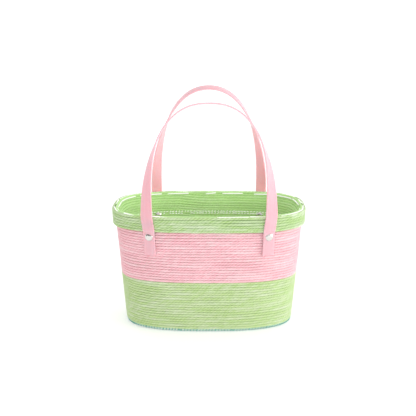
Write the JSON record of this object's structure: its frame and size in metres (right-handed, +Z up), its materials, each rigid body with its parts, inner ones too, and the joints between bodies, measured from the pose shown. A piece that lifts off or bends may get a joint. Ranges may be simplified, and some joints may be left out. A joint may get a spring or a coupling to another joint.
{
  "type": "easter basket",
  "caption": "Oval basket of coiled paper cord in green and pink bands, with a turned-out cuff and two riveted strap handles that fold out and lean in.",
  "frame": {"origin": "centre of the base, on the surface that the basket stands on", "axes": "+Z up, +X along the basket's length, front towards -Y"},
  "size_m": [0.2538, 0.162, 0.3105],
  "materials": {
    "green_cord": "matte twisted paper cord",
    "pink_cord": "matte twisted paper cord",
    "teal_cord": "cord whipped with thread",
    "white_thread": "sewing thread",
    "pink_strap": "soft matte strap",
    "rivet_metal": "polished nickel"
  },
  "bodies": {
    "basket": {"base_mat": "green_cord", "base_edge_cord": "teal_cord", "lower_wall_coil": "green_cord", "middle_wall_coil": "pink_cord", "rim_lining": "green_cord", "rim_cuff": "green_cord", "rim_stitching": "white_thread", "lining_stitching_upper": "white_thread", "lining_stitching_lower": "white_thread", "front_left_strap_tab": "pink_strap", "front_left_rivet_cap": "rivet_metal", "front_left_rivet_stud": "rivet_metal", "front_right_strap_tab": "pink_strap", "front_right_rivet_cap": "rivet_metal", "front_right_rivet_stud": "rivet_metal", "back_left_strap_tab": "pink_strap", "back_left_rivet_cap": "rivet_metal", "back_left_rivet_stud": "rivet_metal", "back_right_strap_tab": "pink_strap", "back_right_rivet_cap": "rivet_metal", "back_right_rivet_stud": "rivet_metal"},
    "front_handle_legs": {"front_left_strap_leg": "pink_strap", "front_right_strap_leg": "pink_strap"},
    "front_handle_loop": {"front_handle_loop": "pink_strap"},
    "back_handle_legs": {"back_left_strap_leg": "pink_strap", "back_right_strap_leg": "pink_strap"},
    "back_handle_loop": {"back_handle_loop": "pink_strap"}
  },
  "joints": [
    {"name": "front_handle_fold", "type": "hinge", "parent": "basket", "child": "front_handle_legs", "pos_m": [0, -0.07576, 0.1364], "axis": [1, 0, 0], "range_deg": [0, 105], "stiffness_Nm_per_rad": 0.06, "springref_deg": -22.92},
    {"name": "front_handle_lean", "type": "hinge", "parent": "front_handle_legs", "child": "front_handle_loop", "pos_m": [0, -0.07628, 0.158], "axis": [-1, 0, 0], "range_deg": [0, 26], "stiffness_Nm_per_rad": 0.06, "springref_deg": -14.32},
    {"name": "back_handle_fold", "type": "hinge", "parent": "basket", "child": "back_handle_legs", "pos_m": [0, 0.07576, 0.1364], "axis": [-1, 0, 0], "range_deg": [0, 105], "stiffness_Nm_per_rad": 0.06, "springref_deg": -22.92},
    {"name": "back_handle_lean", "type": "hinge", "parent": "back_handle_legs", "child": "back_handle_loop", "pos_m": [0, 0.07685, 0.158], "axis": [1, 0, 0], "range_deg": [0, 14], "stiffness_Nm_per_rad": 0.06, "springref_deg": -14.32}
  ]
}
